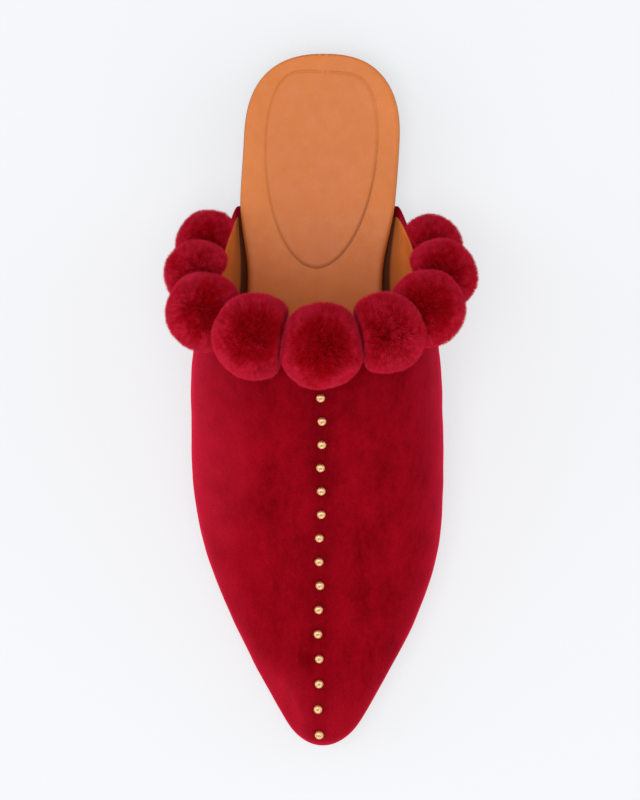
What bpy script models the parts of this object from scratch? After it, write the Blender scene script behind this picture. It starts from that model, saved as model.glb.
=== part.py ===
"""Flat pointed mule with a ring of pompoms round its collar, for the right foot.

The shoe is built over the form of its last, as a shoemaker builds it. form_point() gives any point of that form,
grown outwards by a clearance, so the upper's two faces, the insole, the studs and the pompoms all come from one
function and one short table. Sizes are in millimetres, and make_object() turns them into metres.
The toe points along -Y, the inner side of the foot is +X, and the sole stands on Z = 0.
"""

import math
from collections import namedtuple

import bmesh
import bpy
from mathutils import Vector

MM = 0.001

# Overall sizes
LENGTH = 256.0
GAP = 0.3
UPPER_WALL = 1.8
OUTER = UPPER_WALL + GAP  # clearance of the upper's outer face from the form
INNER = GAP  # clearance of the upper's lining face from the form

# Rounding of the outline at its two ends, in plan
TOE_ROUND = 10.9
TOE_FULLNESS = 4.0  # how blunt the toe is: 2 rounds it off as an ellipse does
HEEL_ROUND = 33.0
HEEL_SQUARENESS = {"out": 2.35, "in": 2.6}
NOSE_START = OUTER + TOE_ROUND  # where the toe's rounding begins, from the toe tip

# The last: half widths of its bottom and of its widest level on the outer and inner side of the foot,
# the heights of the widest level and of the top over the bottom, and how square the arch of the section is
Section = namedtuple(
    "Section", "from_toe bottom_out bottom_in side_out side_in widest top squareness"
)
LAST = (
    Section(0, 4.2, 4.2, 6.0, 6.2, 2.5, 6.5, 2.30),
    Section(20, 14.5, 15.1, 17.4, 18.2, 4.5, 10.8, 2.30),
    Section(45, 26.0, 27.0, 30.1, 31.2, 7.0, 17.8, 2.20),
    Section(70, 35.0, 34.9, 40.2, 39.8, 10.0, 27.0, 2.10),
    Section(95, 39.8, 37.4, 45.3, 42.3, 13.0, 38.2, 2.05),
    Section(120, 38.2, 33.6, 46.2, 42.2, 16.0, 50.5, 2.00),
    Section(147, 32.3, 26.4, 45.1, 40.7, 20.0, 61.6, 2.00),
    Section(175, 30.0, 24.4, 36.8, 34.4, 21.0, 68.8, 2.00),
    Section(200, 31.3, 27.5, 32.2, 29.0, 18.0, 73.3, 2.00),
    Section(228, 29.9, 29.4, 33.0, 31.0, 18.0, 76.0, 2.00),
    Section(256, 30.8, 29.2, 33.0, 31.0, 18.0, 78.0, 2.00),
)
FLARE_SHARE = 0.36  # share of the way round a side, from bottom edge to ridge, that lies below the widest level

# The sole, from the floor up
SOLE_THICKNESS = 4.0
HEEL_HEIGHT = 9.6
HEEL_RISE_FROM = 105.0
HEEL_RISE_TO = 200.0
TOE_SPRING = 4.0
SPRING_FROM = 55.0
ARCH_FROM = 112.0
ARCH_RISE = 3.6
HEEL_BREAST = 191.0
BREAST_DEPTH = 1.0
SOLE_EDGE_ROUND = 0.9
SOLE_MARGIN_TOE = 1.2  # how far the sole reaches past the bottom line of the form under the upper
SOLE_MARGIN_HEEL = -1.2  # and at the heel, where it hides under the insole
MARGIN_CHANGE_FROM = 120.0
MARGIN_CHANGE_TO = 205.0

# The insole, a covered footbed that lies on the upper's turned-in margin and fills the hollow inside it
INSOLE_INSET = -0.8
INSOLE_GAP = 1.5  # how much further it stays off the lining inside the collar
INSOLE_GAP_FROM = 60.0
INSOLE_GAP_FULL = 120.0
INSOLE_GAP_FADE = 32.0  # length in front of the back corners over which the gap closes again
INSOLE_OVER_FORM = 2.4
INSOLE_EDGE_ROUND = 1.3
INSOLE_DISH = 0.9
INSOLE_SEAT = UPPER_WALL + GAP  # depth of its core below the form's bottom line
CORE_FROM = 32.0
CORE_FULL = 48.0
SEAT_FROM = 200.8
SEAT_FULL = 201.6

# The upper's collar, a straight slanting cut seen from the side, and its turned-in margin
THROAT_FROM_TOE = 152.0
THROAT_HEIGHT = 74.0
CORNER_FROM_TOE = 200.0
CORNER_HEIGHT = 10.0
MARGIN_WIDTH = 9.0
MARGIN_SHARE = 0.78  # the margin's widest share of the half width, near the toe
FLARE_STEPS = 5
ARCH_STEPS = 10
LENGTH_STEPS = 22
NOSE_STEPS = 7

# Studs along the ridge, from just below the throat to the toe
STUD_COUNT = 15
STUD_FIRST_FROM_TOE = 129.0
STUD_LAST_FROM_TOE = 4.7
STUD_DIAMETER = 3.4
STUD_HEIGHT = 1.3
STUD_SIDES = 12
STUD_ASIDE = 0.5  # how far the line of studs lies to the outer side of the ridge
STUD_BOW = 1.0  # how much further it bows out towards the toe
STUD_BOW_FROM_TOE = 32.0
STUD_BOW_REACH = 65.0
STUD_STRAY = 0.3  # how far a stud set by hand strays from the line
STUD_STRAY_TURN = 1.9  # turn from stud to stud, in radians, of the wave that the strays follow

# Pompoms round the collar, from the outer back corner to the inner one, set by hand and not quite alike.
# Turn is the angle round the section, in degrees from the ridge, below 0 on the outer side of the foot and past 90
# below the widest level. Seam is the distance of the stitches that hold the pompom from the collar's edge. Lift is
# the height of its middle over the upper, as a share of its radius. Push is how firmly it presses on its neighbours:
# the one at the throat stands in front of the two beside it.
Pompom = namedtuple("Pompom", "place turn seam diameter lift push")
POMPOMS = (
    Pompom("rear_outer", -105, 3.8, 25.0, 0.43, 1.0),
    Pompom("side_outer", -79, 4.0, 25.5, 0.52, 1.0),
    Pompom("flank_outer", -56, 5.0, 29.0, 0.52, 1.0),
    Pompom("front_outer", -27, 1.5, 31.5, 0.52, 1.0),
    Pompom("throat", -0.5, 1.5, 31.5, 0.52, 1.4),
    Pompom("front_inner", 27, 0.5, 29.5, 0.52, 1.0),
    Pompom("flank_inner", 52, 1.5, 28.5, 0.52, 1.0),
    Pompom("side_inner", 78, 3.5, 27.0, 0.52, 1.0),
    Pompom("rear_inner", 101, 4.6, 25.0, 0.4, 1.0),
)
POMPOM_POINTS = 232
POMPOM_LOCKS = 44
LOCK_DEPTH = 0.11  # how deep the valleys between locks are, as a share of the radius
LOCK_VALLEY = 0.955  # cosine of the angle from a lock's axis to the valley round it
SQUEEZE_SOFTNESS = 0.8  # millimetres over which a pompom rounds into a face that squeezes it

Finish = namedtuple("Finish", "colour roughness metallic")
FINISHES = {
    "velvet": Finish((0.300, 0.004, 0.012), 0.85, 0.0),
    "pompom": Finish((0.270, 0.004, 0.010), 0.95, 0.0),
    "insole_leather": Finish((0.620, 0.215, 0.070), 0.50, 0.0),
    "sole_leather": Finish((0.330, 0.150, 0.060), 0.60, 0.0),
    "brass": Finish((0.800, 0.560, 0.250), 0.25, 1.0),
}


def clamp(share):
    return min(1.0, max(0.0, share))


def ease(share):
    """0 before, 1 after, and a smooth rise between."""
    share = clamp(share)
    return share * share * (3.0 - 2.0 * share)


def along(column, from_toe):
    """A column of the last's table at a distance from the toe, on a smooth curve through its rows."""
    rows = [(section.from_toe, getattr(section, column)) for section in LAST]
    last = len(rows) - 1
    i = max(k for k in range(last) if k == 0 or rows[k][0] <= from_toe)

    def slope(k):
        before, after = rows[max(k - 1, 0)], rows[min(k + 1, last)]
        return (after[1] - before[1]) / (after[0] - before[0])

    (x0, y0), (x1, y1) = rows[i], rows[i + 1]
    span = x1 - x0
    t = (from_toe - x0) / span
    if t < 0.0:
        return y0 + slope(0) * (from_toe - x0)
    rise = y0 * (1 - t) ** 2 * (1 + 2 * t) + y1 * t * t * (3 - 2 * t)
    return rise + span * (slope(i) * t * (1 - t) ** 2 - slope(i + 1) * t * t * (1 - t))


def spring(from_toe):
    """Lift of the sole towards the toe tip."""
    return TOE_SPRING * clamp((SPRING_FROM - from_toe) / SPRING_FROM) ** 2


def sole_under(from_toe):
    """Height of the sole's lower face: toe spring, flat forefoot, arch, heel breast and flat heel."""
    if from_toe < ARCH_FROM:
        return spring(from_toe)
    if from_toe < HEEL_BREAST:
        return ARCH_RISE * ease((from_toe - ARCH_FROM) / (HEEL_BREAST - ARCH_FROM))
    return ARCH_RISE * clamp(1.0 - (from_toe - HEEL_BREAST) / BREAST_DEPTH)


def sole_over(from_toe):
    """Height of the sole's upper face."""
    rise = ease((from_toe - HEEL_RISE_FROM) / (HEEL_RISE_TO - HEEL_RISE_FROM))
    return SOLE_THICKNESS + spring(from_toe) + (HEEL_HEIGHT - SOLE_THICKNESS) * rise


def form_bottom(from_toe):
    """Height of the form's bottom: over the sole come a gap, the upper's margin and another gap."""
    return sole_over(from_toe) + GAP + UPPER_WALL + GAP


def toe_tip(clearance):
    """Where a face of that clearance ends, from the shoe's toe tip."""
    return OUTER - clearance


def toe_rounding(from_toe, clearance):
    """1 along the shoe, falling to 0 at the blunt toe tip."""
    share = clamp((from_toe - toe_tip(clearance)) / (TOE_ROUND + clearance))
    return math.sqrt(1.0 - (1.0 - share) ** TOE_FULLNESS)


def heel_rounding(from_toe, side, inset):
    """1 along the shoe, falling to 0 at the back of the heel, a little squarer than an ellipse."""
    share = clamp((LENGTH - inset - from_toe) / (HEEL_ROUND - inset))
    power = HEEL_SQUARENESS[side]
    return (1.0 - (1.0 - share) ** power) ** (1.0 / power)


def in_shoe(x, from_toe, z):
    """A point of the shoe's own frame, with the length centred on the origin."""
    return Vector((x, from_toe - LENGTH / 2.0, z))


def form_point(from_toe, around, clearance):
    """A point of the form, grown by a clearance. Around is -1 at the bottom edge on the outer side of the foot,
    0 on the ridge and 1 at the inner bottom edge; past 1 it runs inwards along the turned-in margin."""
    side = "out" if around < 0 else "in"
    foot = form_bottom(from_toe) - clearance
    bottom = along(f"bottom_{side}", from_toe)
    reach = along(f"side_{side}", from_toe) + clearance
    widest = along("widest", from_toe) + clearance
    top = along("top", from_toe) + 2.0 * clearance
    power = 2.0 / along("squareness", from_toe)
    climb = 1.0 - abs(around)
    if climb < 0.0:
        x = bottom + climb * min(MARGIN_WIDTH, MARGIN_SHARE * bottom)
        z = 0.0
    elif climb < FLARE_SHARE:
        turn = math.radians(90.0) * climb / FLARE_SHARE
        x = bottom + (reach - bottom) * math.sin(turn)
        z = widest * (1.0 - math.cos(turn))
    else:
        turn = math.radians(90.0) * (climb - FLARE_SHARE) / (1.0 - FLARE_SHARE)
        x = reach * max(math.cos(turn), 0.0) ** power
        z = widest + (top - widest) * math.sin(turn) ** power
    rounding = toe_rounding(from_toe, clearance)
    return in_shoe(math.copysign(x * rounding, around), from_toe, foot + z * rounding)


def outward(from_toe, around, clearance):
    """The form's outward direction at a point."""
    step, turn = 0.2, 0.01
    lengthways = form_point(from_toe + step, around, clearance) - form_point(
        from_toe - step, around, clearance
    )
    crossways = form_point(from_toe, around + turn, clearance) - form_point(
        from_toe, around - turn, clearance
    )
    return crossways.cross(lengthways).normalized()


def collar_height(from_toe):
    """Height of the collar's slanting cut."""
    slope = (CORNER_HEIGHT - THROAT_HEIGHT) / (CORNER_FROM_TOE - THROAT_FROM_TOE)
    return THROAT_HEIGHT + slope * (from_toe - THROAT_FROM_TOE)


def collar_from_toe(around, clearance):
    """Where the collar's cut crosses a lengthways line of the form, by halving the interval."""
    near, far = ARCH_FROM, LENGTH
    for _ in range(40):
        middle = (near + far) / 2.0
        if form_point(middle, around, clearance).z < collar_height(middle):
            near = middle
        else:
            far = middle
    return (near + far) / 2.0


def make_object(name, mesh_builder, finish, parent, location=None, direction=None):
    """A named object from a bmesh in millimetres, shaded smooth, with its finish, under its parent."""
    bmesh.ops.scale(mesh_builder, vec=(MM, MM, MM), verts=mesh_builder.verts)
    bmesh.ops.recalc_face_normals(mesh_builder, faces=mesh_builder.faces)
    mesh = bpy.data.meshes.new(name)
    mesh_builder.to_mesh(mesh)
    mesh_builder.free()
    mesh.shade_smooth()
    mesh.set_sharp_from_angle(angle=math.radians(40.0))
    mesh.materials.append(material(finish))
    return place_object(name, mesh, parent, location, direction)


def place_object(name, mesh, parent, location=None, direction=None):
    """An object of that mesh at a place in millimetres, with its own Z turned to a direction."""
    obj = bpy.data.objects.new(name, mesh)
    bpy.context.scene.collection.objects.link(obj)
    obj.parent = parent
    if location is not None:
        obj.location = location * MM
    if direction is not None:
        obj.rotation_mode = "QUATERNION"
        obj.rotation_quaternion = direction.to_track_quat("Z", "Y")
    return obj


def material(finish):
    """The Principled material of a finish, made once."""
    found = bpy.data.materials.get(finish)
    if found:
        return found
    made = bpy.data.materials.new(finish)
    made.use_nodes = True
    shader = made.node_tree.nodes["Principled BSDF"]
    shader.inputs["Base Color"].default_value = (*FINISHES[finish].colour, 1.0)
    shader.inputs["Roughness"].default_value = FINISHES[finish].roughness
    shader.inputs["Metallic"].default_value = FINISHES[finish].metallic
    return made


def loft(rings):
    """A closed solid through rings of points that correspond, capped at both ends."""
    solid = bmesh.new()
    loops = [[solid.verts.new(point) for point in ring] for ring in rings]
    for ring, after in zip(loops, loops[1:]):
        for i in range(len(ring)):
            j = (i + 1) % len(ring)
            solid.faces.new((ring[i], ring[j], after[j], after[i]))
    solid.faces.new(reversed(loops[0]))
    solid.faces.new(loops[-1])
    return solid


def lengthways_stations(clearance, inset, extra=()):
    """Distances from the toe for a loft along the whole shoe, close together where its two ends round off."""
    toe_steps, heel_steps, middle_steps = 6, 9, 14
    tip, back = toe_tip(clearance), LENGTH - inset
    toe = [
        tip + (NOSE_START - tip) * (1.0 - math.cos(math.radians(90.0) * (k + 0.12) / toe_steps))
        for k in range(toe_steps)
    ]
    heel = [
        back - (HEEL_ROUND - inset) * (1.0 - math.cos(math.radians(90.0) * (k + 0.25) / heel_steps))
        for k in range(heel_steps)
    ]
    middle = [
        NOSE_START + (LENGTH - HEEL_ROUND - NOSE_START) * k / middle_steps
        for k in range(middle_steps + 1)
    ]
    return sorted([*toe, *middle, *heel, *extra])


def build_outsole(parent):
    """Thin sole with toe spring, arch and a low heel in one piece, its edges rounded off."""

    def ring(from_toe):
        share = ease((from_toe - MARGIN_CHANGE_FROM) / (MARGIN_CHANGE_TO - MARGIN_CHANGE_FROM))
        margin = SOLE_MARGIN_TOE + (SOLE_MARGIN_HEEL - SOLE_MARGIN_TOE) * share
        rounding = toe_rounding(from_toe, SOLE_MARGIN_TOE)
        half = {}
        for side in ("out", "in"):
            end = heel_rounding(from_toe, side, -SOLE_MARGIN_HEEL)
            half[side] = (along(f"bottom_{side}", from_toe) + margin) * rounding * end
        out, inn = half["out"], half["in"]
        under, over = sole_under(from_toe), sole_over(from_toe)
        edge = SOLE_EDGE_ROUND
        trim = edge * clamp(min(out, inn) / (3.0 * edge))
        profile = (
            (-out + trim, over),
            (inn - trim, over),
            (inn, over - edge),
            (inn, under + edge),
            (inn - trim, under),
            (-out + trim, under),
            (-out, under + edge),
            (-out, over - edge),
        )
        return [in_shoe(x, from_toe, z) for x, z in profile]

    breast = (HEEL_BREAST, HEEL_BREAST + BREAST_DEPTH)
    flats = (SPRING_FROM, ARCH_FROM)
    stations = lengthways_stations(SOLE_MARGIN_TOE, -SOLE_MARGIN_HEEL, breast + flats)
    make_object("outsole", loft([ring(s) for s in stations]), "sole_leather", parent)


def insole_gap(from_toe):
    """How far the insole's edge draws in from the lining, so that a narrow gap shows inside the collar."""
    opening = ease((from_toe - INSOLE_GAP_FROM) / (INSOLE_GAP_FULL - INSOLE_GAP_FROM))
    return INSOLE_GAP * opening * ease((CORNER_FROM_TOE - from_toe) / INSOLE_GAP_FADE)


def build_insole(parent):
    """Covered footbed: softly dished, rounded at its edge, with a core that fills the hollow in the margin."""
    top_shares = (1.0, 0.975, 0.90, 0.72, 0.40, 0.0)
    core_slope = 0.6

    def ring(from_toe):
        foot = form_bottom(from_toe)
        surface = foot + INSOLE_OVER_FORM
        core = INSOLE_SEAT * ease((from_toe - CORE_FROM) / (CORE_FULL - CORE_FROM))
        seat = INSOLE_SEAT * ease((from_toe - SEAT_FROM) / (SEAT_FULL - SEAT_FROM))
        halves = {}
        for sign, side in ((-1, "out"), (1, "in")):
            rounding = toe_rounding(from_toe, INSOLE_INSET) * heel_rounding(from_toe, side, 0.0)
            bottom = along(f"bottom_{side}", from_toe)
            width = (bottom + INSOLE_INSET - insole_gap(from_toe)) * rounding
            margin = min(MARGIN_WIDTH, MARGIN_SHARE * bottom) + 1.0
            core_width = max(bottom - margin, 0.16 * bottom) * rounding
            top = []
            for share in top_shares:
                edge = clamp((share - 0.90) / 0.10)
                drop = INSOLE_EDGE_ROUND * (1.0 - math.sqrt(1.0 - edge * edge))
                dish = INSOLE_DISH * (1.0 - share * share) * rounding
                top.append((sign * share * width, surface - drop - dish))
            under = [
                (sign * width, foot - seat),
                (sign * (core_width + core_slope * rounding), foot - seat),
                (sign * core_width, foot - core),
            ]
            halves[side] = (top, under)
        (top_out, under_out), (top_in, under_in) = halves["out"], halves["in"]
        profile = [*top_out, *top_in[-2::-1], *under_in, *under_out[::-1]]
        return [in_shoe(x, from_toe, z) for x, z in profile]

    seat_step = (SEAT_FROM, SEAT_FULL)
    stations = lengthways_stations(INSOLE_INSET, 0.0, seat_step)
    make_object("insole", loft([ring(s) for s in stations]), "insole_leather", parent)


def around_steps():
    """Values of around across the upper, from the edge of one turned-in margin to the other."""
    half = [2.0]
    half += [1.0 - FLARE_SHARE * k / FLARE_STEPS for k in range(FLARE_STEPS)]
    half += [(1.0 - FLARE_SHARE) * (1.0 - k / ARCH_STEPS) for k in range(ARCH_STEPS)]
    return [-a for a in half] + [0.0] + half[::-1]


def upper_rows(clearance):
    """Rows of points across one face of the upper, from the collar to just short of the toe tip."""
    columns = [(a, collar_from_toe(a, clearance)) for a in around_steps()]
    rows = []
    for i in range(LENGTH_STEPS + 1):
        share = i / LENGTH_STEPS
        rows.append(
            [form_point(c + (NOSE_START - c) * share, a, clearance) for a, c in columns]
        )
    for j in range(1, NOSE_STEPS):
        turn = math.radians(90.0) * j / NOSE_STEPS
        from_toe = NOSE_START - (TOE_ROUND + clearance) * math.sin(turn)
        rows.append([form_point(from_toe, a, clearance) for a, _ in columns])
    return rows


def build_upper(parent):
    """The hollow upper: an outer and a lining face, a cut edge round the collar and along both margins."""
    solid = bmesh.new()
    faces = []
    for clearance in (OUTER, INNER):
        rows = [[solid.verts.new(p) for p in row] for row in upper_rows(clearance)]
        tip = solid.verts.new(form_point(toe_tip(clearance), 0.0, clearance))
        for row, after in zip(rows, rows[1:]):
            for i in range(len(row) - 1):
                solid.faces.new((row[i], row[i + 1], after[i + 1], after[i]))
        for i in range(len(rows[-1]) - 1):
            solid.faces.new((rows[-1][i], rows[-1][i + 1], tip))
        first_edge = [row[0] for row in rows] + [tip]
        last_edge = [row[-1] for row in rows] + [tip]
        faces.append((rows[0], first_edge, last_edge))
    for outer_edge, inner_edge in zip(*faces):
        for i in range(len(outer_edge) - 1):
            solid.faces.new((outer_edge[i], outer_edge[i + 1], inner_edge[i + 1], inner_edge[i]))
    make_object("upper", solid, "velvet", parent)


def stud_mesh():
    """A turned stud: flat back, rounded rim and a crown that is nearly flat, spun round its axis."""
    radius = STUD_DIAMETER / 2.0
    profile = (
        (0.0, 0.0),
        (radius * 0.88, 0.0),
        (radius, STUD_HEIGHT * 0.25),
        (radius * 0.86, STUD_HEIGHT * 0.72),
        (radius * 0.48, STUD_HEIGHT),
        (0.0, STUD_HEIGHT * 0.96),
    )
    solid = bmesh.new()
    verts = [solid.verts.new((r, 0.0, z)) for r, z in profile]
    edges = [solid.edges.new(pair) for pair in zip(verts, verts[1:])]
    bmesh.ops.spin(
        solid,
        geom=verts + edges,
        axis=(0, 0, 1),
        cent=(0, 0, 0),
        angle=math.radians(360.0),
        steps=STUD_SIDES,
    )
    bmesh.ops.remove_doubles(solid, verts=solid.verts, dist=1e-4)
    return solid


def ridge_distances():
    """Distances from the toe that space the studs evenly along the curved ridge."""
    fine = 400
    reach = STUD_FIRST_FROM_TOE - STUD_LAST_FROM_TOE
    line = [STUD_FIRST_FROM_TOE - reach * k / fine for k in range(fine + 1)]
    travelled = [0.0]
    for here, there in zip(line, line[1:]):
        step = form_point(there, 0.0, OUTER) - form_point(here, 0.0, OUTER)
        travelled.append(travelled[-1] + step.length)
    wanted = [travelled[-1] * k / (STUD_COUNT - 1) for k in range(STUD_COUNT)]
    return [line[min(range(fine + 1), key=lambda i: abs(travelled[i] - w))] for w in wanted]


def stud_around(from_toe, number):
    """Value of around at which a stud sits: a little to the outer side of the ridge."""
    bow = STUD_BOW * clamp(1.0 - ((from_toe - STUD_BOW_FROM_TOE) / STUD_BOW_REACH) ** 2)
    aside = STUD_ASIDE + bow + STUD_STRAY * math.sin(STUD_STRAY_TURN * number)
    reach = (along("side_out", from_toe) + OUTER) * toe_rounding(from_toe, OUTER)
    lean = math.asin((aside / reach) ** (along("squareness", from_toe) / 2.0))
    return -(1.0 - FLARE_SHARE) * lean / math.radians(90.0)


def build_studs(parent):
    """One stud mesh, set upright along the ridge again and again."""
    mesh = None
    for number, from_toe in enumerate(ridge_distances(), start=1):
        around = stud_around(from_toe, number)
        direction = outward(from_toe, around, OUTER)
        location = form_point(from_toe, around, OUTER) + direction * GAP
        name = f"stud_{number:02d}"
        if mesh is None:
            mesh = make_object(name, stud_mesh(), "brass", parent, location, direction).data
        else:
            place_object(name, mesh, parent, location, direction)


def spread_over_ball(count):
    """Directions spread evenly over a ball, on a spiral."""
    golden = math.pi * (3.0 - math.sqrt(5.0))
    directions = []
    for k in range(count):
        z = 1.0 - (2.0 * k + 1.0) / count
        radius = math.sqrt(1.0 - z * z)
        directions.append(Vector((radius * math.cos(golden * k), radius * math.sin(golden * k), z)))
    return directions


def pompom_mesh(radius, squeezes):
    """A ball of fused locks, pressed flat towards each face that squeezes it.
    A squeeze is the direction of that face and its distance from the ball's middle."""
    solid = bmesh.new()
    directions = spread_over_ball(POMPOM_POINTS)
    verts = [solid.verts.new(d) for d in directions]
    bmesh.ops.convex_hull(solid, input=verts)
    lock_axes = spread_over_ball(POMPOM_LOCKS)
    for vert, direction in zip(verts, directions):
        nearest = max(direction.dot(axis) for axis in lock_axes)
        height = clamp((nearest - LOCK_VALLEY) / (1.0 - LOCK_VALLEY))
        reaches = [radius * (1.0 - LOCK_DEPTH * (1.0 - height))]
        for towards, distance in squeezes:
            facing = direction.dot(towards)
            if facing > 0.05:
                reaches.append(distance / facing)
        total = sum(math.exp((min(reaches) - r) / SQUEEZE_SOFTNESS) for r in reaches)
        vert.co = direction * (min(reaches) - SQUEEZE_SOFTNESS * math.log(total))
    return solid


def around_at(turn):
    """Value of around at an angle from the ridge: 90 degrees is the widest level and 180 the bottom edge."""
    quarters = abs(turn) / 90.0
    arch = (1.0 - FLARE_SHARE) * min(quarters, 1.0)
    flare = FLARE_SHARE * max(quarters - 1.0, 0.0)
    return math.copysign(arch + flare, turn)


def pompom_seats():
    """Each pompom with its middle and outward direction, in order round the collar."""
    seats = []
    for pompom in POMPOMS:
        around = around_at(pompom.turn)
        from_toe = collar_from_toe(around, OUTER) - pompom.seam
        direction = outward(from_toe, around, OUTER)
        middle = form_point(from_toe, around, OUTER) + direction * pompom.lift * pompom.diameter / 2.0
        seats.append((pompom, middle, direction))
    return seats


def build_pompoms(parent):
    """Pompoms side by side along the collar, each pressed by the upper and by its neighbours."""
    seats = pompom_seats()
    for i, (pompom, middle, direction) in enumerate(seats):
        squeezes = [(-direction, pompom.lift * pompom.diameter / 2.0 - GAP)]
        for neighbour in (i - 1, i + 1):
            if 0 <= neighbour < len(seats):
                other, other_middle, _ = seats[neighbour]
                between = other_middle - middle
                strength = pompom.push * pompom.diameter
                share = strength / (strength + other.push * other.diameter)
                squeezes.append((between.normalized(), between.length * share - GAP / 2.0))
        solid = pompom_mesh(pompom.diameter / 2.0, squeezes)
        make_object(f"pompom_{pompom.place}", solid, "pompom", parent, middle)


def main():
    for obj in list(bpy.data.objects):
        bpy.data.objects.remove(obj)
    shoe = bpy.data.objects.new("shoe", None)
    bpy.context.scene.collection.objects.link(shoe)
    build_outsole(shoe)
    build_insole(shoe)
    build_upper(shoe)
    build_studs(shoe)
    build_pompoms(shoe)


main()
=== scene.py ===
"""Looks of the pompom mule: velvet upper with lining, cut pile pompoms, leather insole and sole, and studs.

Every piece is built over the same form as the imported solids, at a finer step. Sizes are in millimetres and
new_mesh() turns them into metres. The toe points along -Y, the inner side of the foot is +X, and Z is up.
Distances along the shoe, named d or from_toe, start at the tip of its toe.
"""

import math
from collections import namedtuple

import bmesh
import bpy
import numpy as np
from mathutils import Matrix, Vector


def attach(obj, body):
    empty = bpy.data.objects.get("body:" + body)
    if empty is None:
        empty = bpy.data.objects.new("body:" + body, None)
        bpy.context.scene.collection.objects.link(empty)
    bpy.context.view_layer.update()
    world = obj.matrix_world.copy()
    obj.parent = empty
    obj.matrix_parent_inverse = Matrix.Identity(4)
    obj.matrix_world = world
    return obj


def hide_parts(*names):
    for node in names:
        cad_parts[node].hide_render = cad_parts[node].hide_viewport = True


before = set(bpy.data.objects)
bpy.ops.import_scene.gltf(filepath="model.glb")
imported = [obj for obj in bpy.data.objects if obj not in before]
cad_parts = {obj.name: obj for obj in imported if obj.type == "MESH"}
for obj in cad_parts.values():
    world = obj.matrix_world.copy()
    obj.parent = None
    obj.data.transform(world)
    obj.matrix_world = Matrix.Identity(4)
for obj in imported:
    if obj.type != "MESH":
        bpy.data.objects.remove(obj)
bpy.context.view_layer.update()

MM = 0.001
RIGHT_ANGLE = math.radians(90.0)

# The form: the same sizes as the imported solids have. Pairs are where a ramp() is 0 and where it is 1
LENGTH = 256.0
HALF_LENGTH = LENGTH / 2.0
GAP = 0.3
UPPER_WALL = 1.8
OUTER = UPPER_WALL + GAP  # clearance of the upper's outer face over the form
INNER = GAP  # and of its inner face
TOE_ROUND = 10.9
TOE_FULLNESS = 4.0
HEEL_ROUND = 33.0
HEEL_SQUARENESS = {"out": 2.35, "in": 2.6}
NOSE_START = OUTER + TOE_ROUND
# Half widths at the bottom edge and at the widest level, then heights of that level and of the ridge
COLUMNS = ("from_toe", "bottom_out", "bottom_in", "side_out", "side_in", "widest", "top", "squareness")
LAST = (
    (0, 4.2, 4.2, 6.0, 6.2, 2.5, 6.5, 2.30),
    (20, 14.5, 15.1, 17.4, 18.2, 4.5, 10.8, 2.30),
    (45, 26.0, 27.0, 30.1, 31.2, 7.0, 17.8, 2.20),
    (70, 35.0, 34.9, 40.2, 39.8, 10.0, 27.0, 2.10),
    (95, 39.8, 37.4, 45.3, 42.3, 13.0, 38.2, 2.05),
    (120, 38.2, 33.6, 46.2, 42.2, 16.0, 50.5, 2.00),
    (147, 32.3, 26.4, 45.1, 40.7, 20.0, 61.6, 2.00),
    (175, 30.0, 24.4, 36.8, 34.4, 21.0, 68.8, 2.00),
    (200, 31.3, 27.5, 32.2, 29.0, 18.0, 73.3, 2.00),
    (228, 29.9, 29.4, 33.0, 31.0, 18.0, 76.0, 2.00),
    (256, 30.8, 29.2, 33.0, 31.0, 18.0, 78.0, 2.00),
)
COLUMN = dict(zip(COLUMNS, np.array(LAST).T))
FLARE_SHARE = 0.36  # share of around from the bottom edge up to the widest level
SOLE_THICKNESS = 4.0
HEEL_HEIGHT = 9.6
HEEL_RISE = (105.0, 200.0)
TOE_SPRING = 4.0
SPRING_FROM = 55.0
ARCH_FROM = 112.0
ARCH_RISE = 3.6
HEEL_BREAST = 191.0
BREAST_DEPTH = 1.0
SOLE_MARGIN_TOE = 1.2
SOLE_MARGIN_HEEL = -1.2
MARGIN_CHANGE = (120.0, 205.0)
INSOLE_INSET = -0.8
INSOLE_GAP = 1.5
INSOLE_GAP_OPENS = (60.0, 120.0)
INSOLE_GAP_FADE = 32.0
INSOLE_OVER_FORM = 2.4
INSOLE_DISH = 0.9
INSOLE_SEAT = UPPER_WALL + GAP
CORE_SINKS = (32.0, 48.0)
CORE_CLEARANCE = 1.0
CORE_LEAST_SHARE = 0.16
CORE_TAPER = 0.6
SEAT_SINKS = (200.8, 201.6)
THROAT_FROM_TOE = 152.0
THROAT_HEIGHT = 74.0
CORNER_FROM_TOE = 200.0
CORNER_HEIGHT = 10.0
COLLAR_SLOPE = (CORNER_HEIGHT - THROAT_HEIGHT) / (CORNER_FROM_TOE - THROAT_FROM_TOE)
COLLAR_CUT = np.array([0.0, -COLLAR_SLOPE, 1.0]) / math.hypot(COLLAR_SLOPE, 1.0)  # the way the cut faces
MARGIN_WIDTH = 9.0
MARGIN_SHARE = 0.78
STUD_COUNT = 15
STUD_FIRST_FROM_TOE = 129.0
STUD_LAST_FROM_TOE = 4.7
STUD_ASIDE = 0.5
STUD_BOW = 1.0
STUD_BOW_FROM_TOE = 32.0
STUD_BOW_REACH = 65.0
STUD_STRAY = 0.3
STUD_STRAY_TURN = 1.9
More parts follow.
